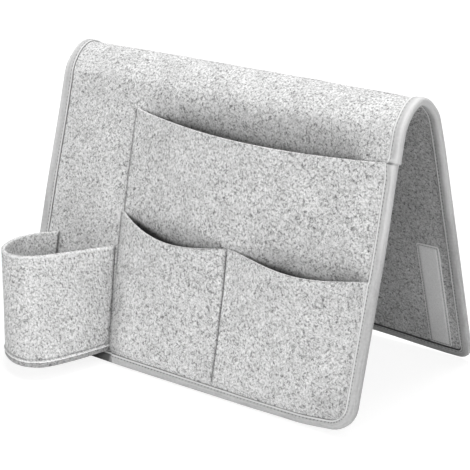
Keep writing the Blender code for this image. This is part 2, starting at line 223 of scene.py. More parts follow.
# Meshes
def make_object(name, points, faces, uvs=None):
    data = bpy.data.meshes.new(name)
    data.from_pydata([tuple(p) for p in points], [], faces)
    if uvs is not None:
        layer = data.uv_layers.new(name="UVMap")
        corner = np.zeros(len(data.loops), dtype=np.int32)
        data.loops.foreach_get("vertex_index", corner)
        layer.data.foreach_set("uv", np.asarray(uvs, dtype=np.float32)[corner].ravel())
    data.update()
    item = bpy.data.objects.new(name, data)
    bpy.context.scene.collection.objects.link(item)
    data.polygons.foreach_set("use_smooth", [True] * len(data.polygons))
    return item


def grid_faces(rows, cols, start=0, flip=False):
    faces = []
    for i in range(rows - 1):
        for j in range(cols - 1):
            k = start + i * cols + j
            quad = (k, k + 1, k + cols + 1, k + cols)
            faces.append(quad[::-1] if flip else quad)
    return faces


def slab(name, high, low, soft=0.45 * MM, open_first=False, flip=False):
    """A cloth layer between two grids of points, with softly rounded cut edges."""
    rows, cols = high.shape[:2]
    loop = ([(0, j) for j in range(cols)] + [(i, cols - 1) for i in range(1, rows)]
            + [(rows - 1, j) for j in range(cols - 2, -1, -1)] + [(i, 0) for i in range(rows - 2, 0, -1)])
    top, under = high.copy(), low.copy()
    rings = [[], [], [], []]
    for i, j in loop:
        open_end = open_first and i == 0
        ni, nj = 0 if open_end else min(max(i, 1), rows - 2), min(max(j, 1), cols - 2)
        for grid, other, target, lip, cut in ((high, low, top, 0, 1), (low, high, under, 3, 2)):
            edge = grid[i, j]
            inward = grid[ni, nj] - edge
            inward = inward / max(np.linalg.norm(inward), 1e-9)
            across = other[i, j] - edge
            depth = np.linalg.norm(across)
            across = across / max(depth, 1e-9)
            use = 0.0 if open_end else min(soft, 0.45 * depth)
            target[i, j] = edge + inward * use
            rings[lip].append(edge + (inward + across) * use * 0.29)
            rings[cut].append(edge + across * use)
    count = rows * cols
    points = [*top.reshape(-1, 3), *under.reshape(-1, 3)]
    faces = grid_faces(rows, cols, 0, not flip) + grid_faces(rows, cols, count, flip)
    belt = [[i * cols + j for i, j in loop]]
    for ring in rings:
        belt.append(list(range(len(points), len(points) + len(ring))))
        points.extend(ring)
    belt.append([count + i * cols + j for i, j in loop])
    total = len(loop)
    for upper, lower in zip(belt, belt[1:]):
        for k in range(total):
            n = (k + 1) % total
            if not (open_first and loop[k][0] == 0 and loop[n][0] == 0):
                quad = (upper[k], upper[n], lower[n], lower[k])
                faces.append(quad if flip else quad[::-1])
    ends = []
    if open_first:
        for j in range(cols - 1):
            quad = (j, j + 1, count + j + 1, count + j)
            ends.append(len(faces))
            faces.append(quad if flip else quad[::-1])
    item = make_object(name, points, faces)
    return tidy_mesh(item, ends)


def set_mark(item, name, values):
    """Marks points for the materials: one mark paints shade into seams, folds, hollows and the gaps between
    parts; the other makes woven and cut edges paler and paints highlights on raised lips and rims.
    """
    attribute = item.data.attributes.new(name, "FLOAT", "POINT")
    attribute.data.foreach_set("value", np.asarray(values, dtype=np.float32))


def mark_slab(item, name, outer, under=None):
    """Marks a slab by its grids: the outer face's values and, where given, the under face's."""
    values = np.zeros(len(item.data.vertices))
    values[:outer.size] = outer.ravel()
    if under is not None:
        values[outer.size:2 * outer.size] = under.ravel()
    set_mark(item, name, values)


def tidy_mesh(item, ends=()):
    """Joins points that coincide, turns the faces outward, and keeps the cut ends from rounding the shading."""
    bm = bmesh.new()
    bm.from_mesh(item.data)
    bm.faces.ensure_lookup_table()
    for k in ends:
        bm.faces[k].smooth = False
        for edge in bm.faces[k].edges:
            edge.smooth = False
    bmesh.ops.remove_doubles(bm, verts=bm.verts, dist=1e-7)
    bmesh.ops.recalc_face_normals(bm, faces=bm.faces)
    bm.to_mesh(item.data)
    bm.free()
    return item


def tube_faces(steps, count, start=0):
    """The faces round a closed section of some points, carried over some steps."""
    faces = []
    for i in range(start, start + (steps - 1) * count, count):
        for j in range(count):
            k = (j + 1) % count
            faces.append((i + j, i + k, i + count + k, i + count + j))
    return faces


def sweep(name, sections, uvs=None):
    """A closed section carried along a route: sections is steps x points x 3."""
    steps, count = sections.shape[:2]
    faces = tube_faces(steps, count)
    ends = [len(faces), len(faces) + 1]
    faces += [tuple(range(count)), tuple(range((steps - 1) * count, steps * count))[::-1]]
    return make_object(name, sections.reshape(-1, 3), faces, uvs), ends


# Materials
def new_material(name, level, roughness, sheen, space="Object"):
    """A grey material, its shader and the coordinates that its pattern is laid out in."""
    mat = bpy.data.materials.new(name)
    mat.use_nodes = True
    shader = mat.node_tree.nodes["Principled BSDF"]
    for key, value in (("Base Color", (level, level, level, 1.0)), ("Roughness", roughness),
                       ("Specular IOR Level", 0.2), ("Sheen Weight", sheen), ("Sheen Roughness", 0.6)):
        shader.inputs[key].default_value = value
    return mat, mat.node_tree, shader, add_node(mat.node_tree, "ShaderNodeTexCoord").outputs[space]


def add_node(tree, kind, inputs=None, **values):
    """Adds a node. Its inputs are given plain values or the outputs that they are linked to."""
    node = tree.nodes.new(kind)
    for key, value in values.items():
        setattr(node, key, value)
    for key, value in (inputs or {}).items():
        if isinstance(value, bpy.types.NodeSocket):
            tree.links.new(value, node.inputs[key])
        else:
            node.inputs[key].default_value = value
    return node


def math_node(tree, operation, first, second):
    return add_node(tree, "ShaderNodeMath", {0: first, 1: second}, operation=operation).outputs[0]


def noise_value(tree, coords, scale, detail=2.0, long=None, turn=(0, 0, 0), roughness=0.5):
    """Noise at a scale per metre; long and turn draw it out along one direction."""
    if long:
        drawn = {"Rotation": turn, "Scale": long, "Vector": coords}
        coords = add_node(tree, "ShaderNodeMapping", drawn, vector_type="TEXTURE").outputs[0]
    inputs = {"Scale": scale, "Detail": detail, "Roughness": roughness, "Vector": coords}
    return add_node(tree, "ShaderNodeTexNoise", inputs).outputs["Fac"]


def ramp_colour(tree, value, stops, interpolation="LINEAR"):
    ramp = add_node(tree, "ShaderNodeValToRGB")
    ramp.color_ramp.interpolation = interpolation
    marks = ramp.color_ramp.elements
    while len(marks) < len(stops):
        marks.new(0.5)
    for mark, (place, shade) in zip(marks, stops):
        mark.position = place
        mark.color = (shade, shade, shade, 1.0)
    tree.links.new(value, ramp.inputs[0])
    return ramp.outputs[0]


def mix_colours(tree, kind, share, first, second):
    inputs = {0: share, 6: first, 7: second}
    return add_node(tree, "ShaderNodeMix", inputs, data_type="RGBA", blend_type=kind).outputs[2]


def multiply(tree, first, second):
    return mix_colours(tree, "MULTIPLY", 1.0, first, second)


def toward(tree, shade, share, pale):
    """Blends a shade toward a paler grey by a share."""
    return mix_colours(tree, "MIX", share, shade, (pale, pale, pale, 1.0))


def add_bump(tree, shader, height, strength, distance):
    bump = add_node(tree, "ShaderNodeBump", {"Strength": strength, "Distance": distance, "Height": height})
    tree.links.new(bump.outputs[0], shader.inputs["Normal"])


def darken_painted_shade(tree, colour, shade):
    """Painted shade: darkens seams, folds, hollows and the gaps between parts, where the shade mark says so."""
    mark = add_node(tree, "ShaderNodeAttribute", attribute_name="painted_shade")
    return multiply(tree, colour, ramp_colour(tree, mark.outputs["Fac"], ((0.0, 1.0), (1.0, shade))))


def pale_edges_and_highlights(tree, shade, pale):
    """Woven and cut edges are paler, and raised lips and rims get a painted highlight, where the edge mark says
    so.
    """
    mark = add_node(tree, "ShaderNodeAttribute", attribute_name="pale_edge_and_highlight")
    return toward(tree, shade, mark.outputs["Fac"], pale)


def felt_material(name, level):
    """Marled felt: short light and dark fibres pressed together."""
    mat, tree, shader, coords = new_material(name, level, 0.95, 0.12)
    grain = noise_value(tree, coords, 660.0, 4.0, roughness=0.72)
    shade = ramp_colour(tree, grain, ((0.28, 0.50 * level), (0.47, 0.97 * level), (0.70, 1.38 * level)))
    for turn in (0.35, 1.45, 2.5):
        fibre = noise_value(tree, coords, 760.0, 2.0, (2.6, 1.0, 1.0), (0.15, turn, 0.2))
        shade = multiply(tree, shade, ramp_colour(tree, fibre, ((0.29, 0.40), (0.45, 1.0))))
    for turn in (0.9, 2.0):
        fibre = noise_value(tree, coords, 720.0, 2.0, (3.2, 1.0, 1.0), (0.2, turn, -0.3))
        shade = toward(tree, shade, ramp_colour(tree, fibre, ((0.56, 0.0), (0.74, 0.55))), 0.95)
    patch = noise_value(tree, coords, 55.0, 2.0)
    shade = multiply(tree, shade, ramp_colour(tree, patch, ((0.3, 0.92), (0.7, 1.06))))
    # Paler cut edges with a painted highlight, then painted shade in seams, folds, hollows and gaps
    shade = pale_edges_and_highlights(tree, shade, 0.92)
    shade = darken_painted_shade(tree, shade, 0.2)
    tree.links.new(shade, shader.inputs["Base Color"])
    add_bump(tree, shader, noise_value(tree, coords, 1500.0, 3.0), 0.55, 0.35 * MM)
    return mat


def tape_material(name, level):
    """Smooth woven tape: fine ribs across it and long faint streaks along it. UVs are in metres."""
    mat, tree, shader, coords = new_material(name, level, 0.72, 0.1, "UV")
    streak = noise_value(tree, coords, 900.0, 2.0, (12.0, 1.0, 1.0))
    mottle = noise_value(tree, coords, 520.0, 3.0)
    ribs = add_node(tree, "ShaderNodeTexWave",
                    {"Scale": math.pi / (20 * rib_pitch), "Distortion": 0.6, "Vector": coords},
                    wave_type="BANDS", bands_direction="X")
    streaks, mottles = math_node(tree, "MULTIPLY", streak, 0.6), math_node(tree, "MULTIPLY", mottle, 0.4)
    mixed = math_node(tree, "ADD", streaks, mottles)
    shade = ramp_colour(tree, mixed, ((0.36, 0.86 * level), (0.5, level), (0.64, 1.12 * level)))
    # Painted shade in the stitch holes, at the tape's foot and in its creases; a paler woven lip and rim with a
    # painted highlight
    shade = darken_painted_shade(tree, shade, 0.16)
    tree.links.new(pale_edges_and_highlights(tree, shade, 0.94), shader.inputs["Base Color"])
    add_bump(tree, shader, ribs.outputs["Fac"], 0.4, 0.1 * MM)
    return mat


def thread_material(name, level):
    mat, tree, shader, coords = new_material(name, level, 0.6, 0.1)
    twist = noise_value(tree, coords, 2500.0, 2.0)
    shade = ramp_colour(tree, twist, ((0.35, 0.8 * level), (0.65, 1.1 * level)))
    tree.links.new(shade, shader.inputs["Base Color"])
    return mat


def strip_material(name, level):
    """The pile of a hook-and-loop strip inside its smooth woven border."""
    mat, tree, shader, coords = new_material(name, level, 0.85, 0.25)
    pile = noise_value(tree, coords, 1100.0, 3.0)
    shade = ramp_colour(tree, pile, ((0.35, 0.92 * level), (0.65, 1.08 * level)))
    # A paler woven border, and painted shade along the row of stitches
    shade = darken_painted_shade(tree, pale_edges_and_highlights(tree, shade, 0.95), 0.3)
    tree.links.new(shade, shader.inputs["Base Color"])
    add_bump(tree, shader, pile, 0.6, 0.3 * MM)
    return mat


felt_look = felt_material("marled_felt", 0.66)
tape_look = tape_material("woven_tape", 0.52)
# Both threads are given dark greys as painted shade: they stand in for the dark stitch holes and seam grooves
# around a light thread
shade_dark_thread_look = thread_material("sewing_thread_darkened_as_shade", 0.20)
shade_dark_seam_thread_look = thread_material("seam_thread_darkened_as_shade", 0.34)
strip_look = strip_material("pile_strip", 0.92)


def dress(item, mat):
    item.data.materials.clear()
    item.data.materials.append(mat)
    return item


def follow_fold(item, side):
    """Bakes a piece's placement into its mesh; it does not bend the piece with its flap. The fold line's place
    is computed but not used.
    """
    fold = skin(side, 0.0, 0.0, 0.0)
    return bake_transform(item)


# The pockets' layers, as in the model: heights above the middle of the front panel
def left_edge(s):
    share = np.maximum(s - large_mouth, 0.0) / (sheet_bottom - large_mouth)
    return pocket_left + pocket_left_slant * share ** edge_slant_power


def swell(place, first, final, power=0.85):
    share = np.clip((place - first) / (final - first), 0.0, 1.0)
    return np.sin(math.pi * share) ** power


def fade(s, mouth, power):
    final = sheet_bottom - pocket_sewn_margin
    return np.clip((final - s) / (final - mouth), 0.0, 1.0) ** power


def large_swell(place, s):
    return swell(place, left_edge(s) + pocket_sewn_margin, sheet_right - pocket_sewn_margin)


def phone_swell(place, s, power=0.85):
    left = swell(place, left_edge(s) + pocket_sewn_margin, phone_divider, power)
    span = sheet_right - pocket_sewn_margin - phone_divider
    share = np.clip((place - phone_divider) / span, 0.0, 1.0) ** 1.35
    right = swell(share, 0.0, 1.0, power)
    return np.where(place <= phone_divider, left, right)


def hollow(place, s, centre, reach, depth, first, full, last, final):
    """How far a layer sinks behind a mouth. The four places across are in millimetres."""
    across = step_mm(first, full, place) * (1 - step_mm(last, final, place))
    return depth * np.exp(-((s - centre) / reach) ** 2) * across


def sheet_hollow(x, s):
    """The sheet's hollow behind the large pocket's mouth."""
    place = x + half_width
    centre = large_mouth_line(place) + 7 * MM
    reach = 14 * MM + 6 * MM * step_mm(140, 250, place)
    sink = hollow(place, s, centre, reach, sheet_sink, 82, 140, 274, 293)
    return -sink * step_mm(-12, 10, s)


def large_hollow(place, s):
    """The large pocket's hollows behind the phone pockets' mouths."""
    left = hollow(place, s, phone_mouth + 18 * MM, 11.5 * MM, left_sink, 82, 106, 172, 198)
    right = hollow(place, s, phone_mouth + 21 * MM, 17 * MM, right_sink, 212, 250, 300, 314)
    return left + right


def large_inner(place, s):
    own = large_bulge * large_swell(place, s) * fade(s, large_mouth, 1.75)
    return half_felt + 0.1 * MM + own - large_hollow(place, s)


def squeeze(place, s):
    """The share of a layer's thickness that is left where the tape presses it."""
    side = smooth_step(sheet_right - 5 * MM, sheet_right + 1 * MM, place)
    low = smooth_step(sheet_bottom - 5 * MM, sheet_bottom + 1 * MM, s)
    return 1 - 0.62 * np.maximum(side, low)


def phone_inner(place, s):
    bulge = np.where(place <= phone_divider, left_phone_bulge, right_phone_bulge)
    own = bulge * phone_swell(place, s) * fade(s, phone_mouth, 1.4)
    return large_inner(place, s) + large_hollow(place, s) + felt * squeeze(place, s) + 0.1 * MM + own


def large_mouth_line(place):
    across = (place - pocket_left) / (sheet_right - pocket_left)
    scoop = large_mouth_scoop * large_swell(place, large_mouth)
    return large_mouth + large_mouth_fall * across + scoop


def phone_mouth_line(place):
    left = left_edge(phone_mouth)
    across = np.clip((place - left) / (phone_divider - left), 0.0, 1.0)
    scoop = np.where(place <= phone_divider, left_phone_scoop, right_phone_scoop)
    dip = scoop * phone_swell(place, phone_mouth, scoop_power)
    return phone_mouth + phone_mouth_fall * across + dip


# The folded sheet, in two halves that meet along the crown
def corner_limit(s, side, radius):
    """Half the sheet's width at a place down the flap, with its rounded bottom corner."""
    over = np.clip((s - (DROP[side] - CORNER[side])) / radius, 0.0, 1.0)
    return half_width - CORNER[side] + radius * np.sqrt(np.maximum(1 - over ** 2, 0.0))


def sheet_places(item, side):
    """A half's points: across, height, down the flap, and out from the axis on a flap and on the ridge."""
    points = np.zeros(len(item.data.vertices) * 3)
    item.data.vertices.foreach_get("co", points)
    x, y, z = points.reshape(-1, 3).T
    lean, out, up = LEAN[side], SIGN[side] * (y - axis_y), z - axis_z
    s = out * math.sin(lean) - up * math.cos(lean)
    return x, z, s, out * math.cos(lean) + up * math.sin(lean), np.hypot(out, up)


def paint_shade_on_sheet(item):
    """Paints shade into the sheet's outer face: inside the large pocket, and beside the seams of pocket and
    cup.
    """
    x, z, s, out, _ = sheet_places(item, "front")
    place = x + half_width
    # Painted shade inside the large pocket's mouth
    inside = step_mm(-2, 5, s - large_mouth_line(place)) * step_mm(1, 5, place - left_edge(s))
    inside = painted_inside_shade * inside * (place < sheet_right)
    # Painted shadow beside the phone pocket's sewn left edge
    beside = bell(place - left_edge(s), 2.2) * smooth_step(phone_mouth, phone_mouth + 8 * MM, s)
    # Painted shade in the gap behind the cup's back seam
    behind = bell(place - cup_back_seam - 0.8 * MM, 2.0) * (z < cup_rim_height) * (z > cup_base_height)
    outer_face = out - fold_radius > sheet_hollow(x, s)
    set_mark(item, "painted_shade", np.maximum(inside, np.maximum(beside, behind)) * outer_face)


def paint_shade_under_ridge(item):
    """Paints shade into the back half's inner face, darker the nearer it is to the ridge."""
    _, _, s, out, radius = sheet_places(item, "back")
    inner_face = np.where(s > 0, out, radius) < fold_radius
    set_mark(item, "painted_shade", painted_under_ridge_shade * inner_face * (1 - step_mm(90, 200, s)))


def add_sheet_half(side):
    top, low = CROWN[side], DROP[side] - CORNER[side]
    radius = CORNER[side] - 1.3 * MM
    rows = np.concatenate([top + np.array([0.0, 0.3, 0.8, 1.6]) * MM,
                           np.linspace(top + 3.0 * MM, low, 96),
                           low + radius * np.sin(np.linspace(0.0, math.pi / 2, 12)[1:])])
    share = np.linspace(-1.0, 1.0, 129)
    s = np.repeat(rows[:, None], len(share), 1)
    x = corner_limit(s, side, radius) * share[None, :]
    wave = ripple(x, s * SIGN[side], *sheet_wave)
    if side == "front":
        wave = wave + sheet_hollow(x, s)
    high = skin(side, x, s, wave + half_felt)
    low = skin(side, x, s, wave - half_felt)
    item = slab("felt_sheet_" + side, high, low, open_first=True, flip=side == "back")
    if side == "front":
        paint_shade_on_sheet(item)
    else:
        paint_shade_under_ridge(item)
    dress(item, felt_look)
    follow_fold(item, side)
    return item


sheets = {side: add_sheet_half(side) for side in ("front", "back")}
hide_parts("front_panel_felt", "ridge_felt")
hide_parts("back_panel_felt")


seam_offsets = np.array([-2.6, -1.9, -1.3, -0.8, -0.4, 0.0, 0.4, 0.8, 1.3, 1.9, 2.6]) * MM


def seam_pull(place, s, with_divider):
    """How much of the seams' pull a place feels: 1 in the row of stitches."""
    pull = bell(place - left_edge(s) - pocket_seam_inset, 0.75) * 0.6
    if with_divider:
        run = smooth_step(divider_top, divider_top + 4 * MM, s)
        pull = np.maximum(pull, bell(place - phone_divider, 0.78) * run)
    return pull * (1 - smooth_step(sheet_bottom - 3 * MM, sheet_bottom, s))


def add_pocket(name, mouth_line, top, inner, columns, rows, with_divider):
    down = np.concatenate([[0.0, 0.004, 0.012], np.linspace(0.02, 1.0, rows)])
    bottom = front_drop - bottom_band + tuck
    near = pocket_seam_inset + seam_offsets[-1]
    share = np.linspace(0.0, 1.0, columns)

    def places(s):
        left = left_edge(s)[..., None]
        right = half_width + corner_limit(s, "front", corner_radius - side_band + tuck)[..., None]
        edge = left + np.concatenate([[0.0, 0.5 * MM], pocket_seam_inset + seam_offsets[3:]])[:-1]
        a = left + near
        if with_divider:
            b, c = (phone_divider + seam_offsets[k] + 0 * left for k in (0, -1))
            middle = phone_divider + seam_offsets[1:-1] + 0 * left
            return np.concatenate([edge, a + (b - a) * share, middle, c + (right - c) * share], -1)
        return np.concatenate([edge, a + (right - a) * share], -1)

    first = places(np.array(top))
    start = mouth_line(first)
    s = start[None, :] + (bottom - start)[None, :] * down[:, None]
    u = np.empty_like(s)
    for j in range(s.shape[1]):
        u[:, j] = places(s[:, j])[:, j]
    base = inner(u, s) + ripple(u, s, *pocket_wave)
    pull = seam_pull(u, s, with_divider)
    thick = felt * squeeze(u, s) * (1 - seam_bite * pull)
    high = skin("front", u - half_width, s, base + thick)
    low = skin("front", u - half_width, s, base)
    item = slab(name, high, low)
    # Painted shade in the seams' grooves, where they pull the cloth down
    shade = pull
    if with_divider:
        # Painted shadow of the cup's end beside the sewn left edge, a darker patch near the bottom right
        # corner, and painted shadow along the cut left edge
        beside = bell(u - left_edge(s), 11) * step_mm(105, 195, s)
        corner = bell(u - sheet_right + 12 * MM, 15) * bell(s - sheet_bottom + 10 * MM, 14)
        shade = np.maximum(shade, 0.5 * beside + 0.24 * corner)
        shade[:, 0] = 1.0
        shade[:, 1] = np.maximum(shade[:, 1], 0.6)
    else:
        # Painted shade inside the phone pockets' mouths, and over the large pocket near its right end above the
        # right mouth
        below = s - phone_mouth_line(u)
        inside = step_mm(-1.5, 5, below) * step_mm(2, 5, u - left_edge(s))
        right_mouth_shade = 0.3 * bell(np.minimum(below, 0.0), 14) * step_mm(278, 300, u)
        shade = np.maximum(shade, np.maximum(inside, right_mouth_shade))
    # Painted shade on the pocket's under face below its first rows
    mark_slab(item, "painted_shade", shade, 0.7 * smooth_step(0.0, 0.06, np.broadcast_to(down[:, None], s.shape)))
    # The mouth's cut edge is a little paler, partly a painted highlight
    mark_slab(item, "pale_edge_and_highlight", np.full(s.shape[1], 0.12))
    dress(item, felt_look)
    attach(item, "front_flap")
    return item


large_pocket = add_pocket("large_pocket", large_mouth_line, large_mouth, large_inner, 121, 97, False)
phone_pocket = add_pocket("phone_pocket", phone_mouth_line, phone_mouth, phone_inner, 66, 61, True)
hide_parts("large_pocket_felt")
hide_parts("phone_pocket_felt")


# The edge tape
def tape_widths(side, right, share, s):
    """The tape's width: narrower where pockets fill its fold, along the bottom and at the crown's left end."""
    if side == "front" and right:
        leg = 8.4 * MM - 1.6 * MM * smooth_step(mouth_end, mouth_end + 12 * MM, s)
        return leg * (1 - share) + 6.6 * MM * share
    near_crown = 0.0 if right else smooth_step(8 * MM, CROWN[side], s)
    leg, foot = TAPE_WIDTHS[side]
    return leg - (leg - left_crown_tape) * near_crown + (foot - leg) * share


def tape_stations(side):
    """Points down the left edge, round the bottom and up the right edge, a quarter stitch apart.

    Each has the outer edge's place, the direction into the sheet, the tape's width and the length so far.
    """
    drop, top, radius = DROP[side], CROWN[side], CORNER[side]
    low = drop - radius
    flat = half_width - radius
    leg = low - top
    turn = radius * math.pi / 2
    total = 2 * leg + 2 * turn + 2 * flat
    count = int(round(total / stitch_pitch)) * 4
    run = np.linspace(0.0, total, count + 1)
    x, s, dx, ds, width = (np.zeros_like(run) for _ in range(5))
    for i, d in enumerate(run):
        mirrored = d > total / 2
        q = total - d if mirrored else d
        if q <= leg:
            place, way, share = (-half_width, top + q), (1.0, 0.0), 0.0
        elif q <= leg + turn:
            a = (q - leg) / radius
            way = (math.cos(a), -math.sin(a))
            place = (-flat - radius * math.cos(a), low + radius * math.sin(a))
            share = (q - leg) / turn
        else:
            place, way, share = (-flat + (q - leg - turn), drop), (0.0, -1.0), 1.0
        flip = -1.0 if mirrored else 1.0
        x[i], s[i], dx[i], ds[i] = flip * place[0], place[1], flip * way[0], way[1]
        along = smooth_step(-0.8 * flat, 0.8 * flat, x[i]) if share == 1.0 else float(mirrored)
        ends = [tape_widths(side, right, share, s[i]) for right in (False, True)]
        width[i] = ends[0] + (ends[1] - ends[0]) * along
    return run, x + rim_shift(side, x, s), s, dx, ds, width


def tucked(x, s):
    """How far the pocket layers under the front tape lift it."""
    u = x + half_width
    inside = step_mm(-1.2, 0.2, u - left_edge(s))
    one = smooth_step(large_mouth - 0.4 * MM, large_mouth + 1.2 * MM, s)
    two = smooth_step(divider_top - 0.4 * MM, divider_top + 1.2 * MM, s)
    return inside * (1.2 * MM * one + 1.1 * MM * two)


def rim_shift(side, x, s):
    """The front tape's right edge steps in where it passes the large pocket's mouth."""
    if side == "back":
        return np.zeros_like(s)
    over = s - mouth_end
    above = 0.8 * MM * np.exp(np.minimum(over, 0.0) / (30 * MM)) * (over < 0) * smooth_step(CROWN[side], 0.0, s)
    below = -0.8 * MM * np.exp(-np.maximum(over, 0.0) / (60 * MM)) * (over >= 0)
    return np.where(x > half_width - corner_radius, above + below, 0.0)


mouth_end = large_mouth + large_mouth_fall
pocket_foot = pocket_left + pocket_left_slant - half_width


def tape_fold(side, x, s):
    """The short creases across the front tape at the ends of the pocket layers under it."""
    if side == "back":
        return np.zeros_like(s)
    right = bell(s - mouth_end, 0.7) * (x > half_width - corner_radius)
    low = bell(x - pocket_foot, 0.8) * (s > front_drop - corner_radius)
    return right + low


def pleat(side, x, s):
    """Small gathers of the tape round the bottom corners, -1 to 1."""
    dx = np.abs(x) - (half_width - CORNER[side])
    ds = s - (DROP[side] - CORNER[side])
    angle = np.arctan2(np.maximum(ds, 0.0), np.maximum(dx, 1e-9))
    inside = smooth_step(0.05, 0.3, angle) * (1 - smooth_step(math.pi / 2 - 0.3, math.pi / 2 - 0.05, angle))
    return np.sin(angle * 24.0) * inside * (ds > 0)


def tape_profile(width, lift, pinch, fold, gather, face):
    """A leg's outer surface from its inner edge to the rounded rim: distances in from the rim, and heights."""
    top = half_felt + lift - 0.3 * MM * fold
    dip = 0.26 * MM * pinch if face > 0 else 0.12 * MM * pinch
    wave = 0.16 * MM * gather
    lip = ((0, 0.05, 0), (0.1, 0.45, 0), (0.4, 0.68, 0), (0.75, 0.62, 0), (1.15, 0.46, 0.4), (1.6, 0.36, 1),
           (2.05, 0.48, 0.4))
    marks = (*((width - a * MM, top + b * MM - dip * share) for a, b, share in lip),
             (width - 2.6 * MM, top + 0.66 * MM + wave),
             (width - 3.4 * MM, half_band - 0.15 * MM + lift * 0.75 + wave - 0.3 * MM * fold),
             (width - 4.3 * MM, half_band - 0.15 * MM + lift * 0.45 - 0.3 * MM * fold),
             (rim_reach, half_band - 0.05 * MM + lift * 0.15 - 0.2 * MM * fold))
    return [(depth, face * height) for depth, height in marks]


def tape_sections(side):
    run, x, s, dx, ds, width = tape_stations(side)
    folds, gathers = tape_fold(side, x, s), pleat(side, x, s)
    around = [math.pi / 2 - math.pi * k / 8 for k in range(1, 8)]
    outer_all, pinches = [], []
    for i in range(len(run)):
        pinch = (1.0, 0.45, 0.0, 0.45)[i % 4]
        lift = float(tucked(x[i], s[i])) if side == "front" else 0.0
        outer = tape_profile(width[i], lift, pinch, folds[i], gathers[i], 1)
        bulge = 0.12 * MM * (1 - pinch)
        outer += [(rim_reach - (rim_reach + bulge) * math.cos(a), half_band * math.sin(a)) for a in around]
        outer += tape_profile(width[i], 0.0, pinch, 0.0, gathers[i], -1)[::-1]
        outer_all.append(outer)
        pinches.append(pinch)
    outer_all = np.array(outer_all)
    # the inner surface: the outer one moved in by most of the tape's thickness
    normal = np.zeros_like(outer_all)
    normal[:, 1:-1] = outer_all[:, 2:] - outer_all[:, :-2]
    normal[:, 0] = outer_all[:, 1] - outer_all[:, 0]
    normal[:, -1] = outer_all[:, -1] - outer_all[:, -2]
    normal /= np.linalg.norm(normal, axis=2, keepdims=True)
    inner_all = outer_all - tape_thick * 0.8 * np.stack([-normal[..., 1], normal[..., 0]], -1)
    ring = np.concatenate([outer_all, inner_all[:, ::-1]], axis=1)
    depth, height = ring[..., 0], ring[..., 1]
    px = x[:, None] + dx[:, None] * depth
    ps = s[:, None] + ds[:, None] * depth
    points = skin(side, px, ps, height)
    pinch = np.array(pinches)[:, None]
    groove = np.abs(depth - (width[:, None] - band_seam_inset)) < 0.5 * MM
    foot = depth > width[:, None] - 0.05 * MM
    uneven = 0.8 + 0.2 * np.clip(ripple(run, 0 * run, 1.0, 41, 70 * MM), -1, 1)[:, None]
    # Painted shade: dark stitch holes along the seam's groove, a dark line at the tape's foot where it meets
    # the felt, and the creases across it
    painted_shade = np.where(groove, (0.1 + 0.9 * pinch ** 2) * uneven, 0.0)
    painted_shade = painted_shade + np.where(foot, 0.8, 0.0) * step_mm(-34, -8, ps)
    painted_shade = np.maximum(painted_shade, np.where(height > 0, folds[:, None], 0.0))
    if side == "front":
        # Painted shadow of the cup on the bottom tape
        cup_shadow = step_mm(58, 72, px + half_width) * (1 - step_mm(91, 95, px + half_width))
        painted_shade = np.maximum(painted_shade, cup_shadow * (ps > DROP[side] - bottom_band) * (height > 0))
    lip = depth > width[:, None] - 1.0 * MM
    # A paler woven edge with a painted highlight along the raised lip, and a painted highlight on the rim near
    # the crown
    pale_edge_and_highlight = np.where(lip & ~foot, 0.5, 0.0)
    pale_edge_and_highlight = pale_edge_and_highlight + np.where(depth < 2.2 * MM, 0.36 * (1 - step_mm(60, 110, ps)), 0.0)
    if side == "back":
        # Painted shade along the inner edge of the back flap's bottom tape
        low = (ps > DROP[side] - 12 * MM) & (height < 0) & (depth > width[:, None] - 0.9 * MM)
        painted_shade = np.where(low, 1.0, painted_shade)
        pale_edge_and_highlight = np.where(low, 0.0, pale_edge_and_highlight)
    length = run_length(ring[0])
    uvs = np.stack([np.repeat(run[:, None], ring.shape[1], 1), np.repeat(length[None, :], len(run), 0)], -1)
    return points, uvs.reshape(-1, 2), np.clip(painted_shade, 0, 1).ravel(), pale_edge_and_highlight.ravel()


def add_tape(side):
    points, uvs, painted_shade, pale_edge_and_highlight = tape_sections(side)
    item, ends = sweep("edge_tape_" + side, points, uvs)
    set_mark(item, "painted_shade", painted_shade)
    set_mark(item, "pale_edge_and_highlight", pale_edge_and_highlight)
    tidy_mesh(item, ends)
    dress(item, tape_look)
    follow_fold(item, side)
    return item


tapes = {side: add_tape(side) for side in ("front", "back")}
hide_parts("front_binding", "ridge_binding_left", "ridge_binding_right")
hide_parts("back_binding")


# Stitches: short raised threads that dive into the cloth at both ends
def stitch_mesh(name, stitches, radius=thread_radius):
    """One mesh of stitches, each a start, an end and the way out of the cloth."""
    sides, rings = 6, 5
    points, faces = [], []
    for start, end, out in stitches:
        along = end - start
        length = np.linalg.norm(along)
        along = along / max(length, 1e-9)
        across = np.cross(along, out)
        across /= max(np.linalg.norm(across), 1e-9)
        base = len(points)
        for k in range(rings):
            t = k / (rings - 1)
            arch = math.sin(math.pi * t)
            centre = start + along * length * t + out * (radius * (-1.1 + 1.7 * arch ** 0.6))
            size = radius * (0.72 + 0.28 * arch)
            for j in range(sides):
                a = 2 * math.pi * j / sides
                points.append(centre + (across * math.cos(a) + out * math.sin(a)) * size)
        faces += tube_faces(rings, sides, base)
        faces.append(tuple(range(base, base + sides))[::-1])
        faces.append(tuple(range(base + (rings - 1) * sides, base + rings * sides)))
    return tidy_mesh(make_object(name, points, faces))


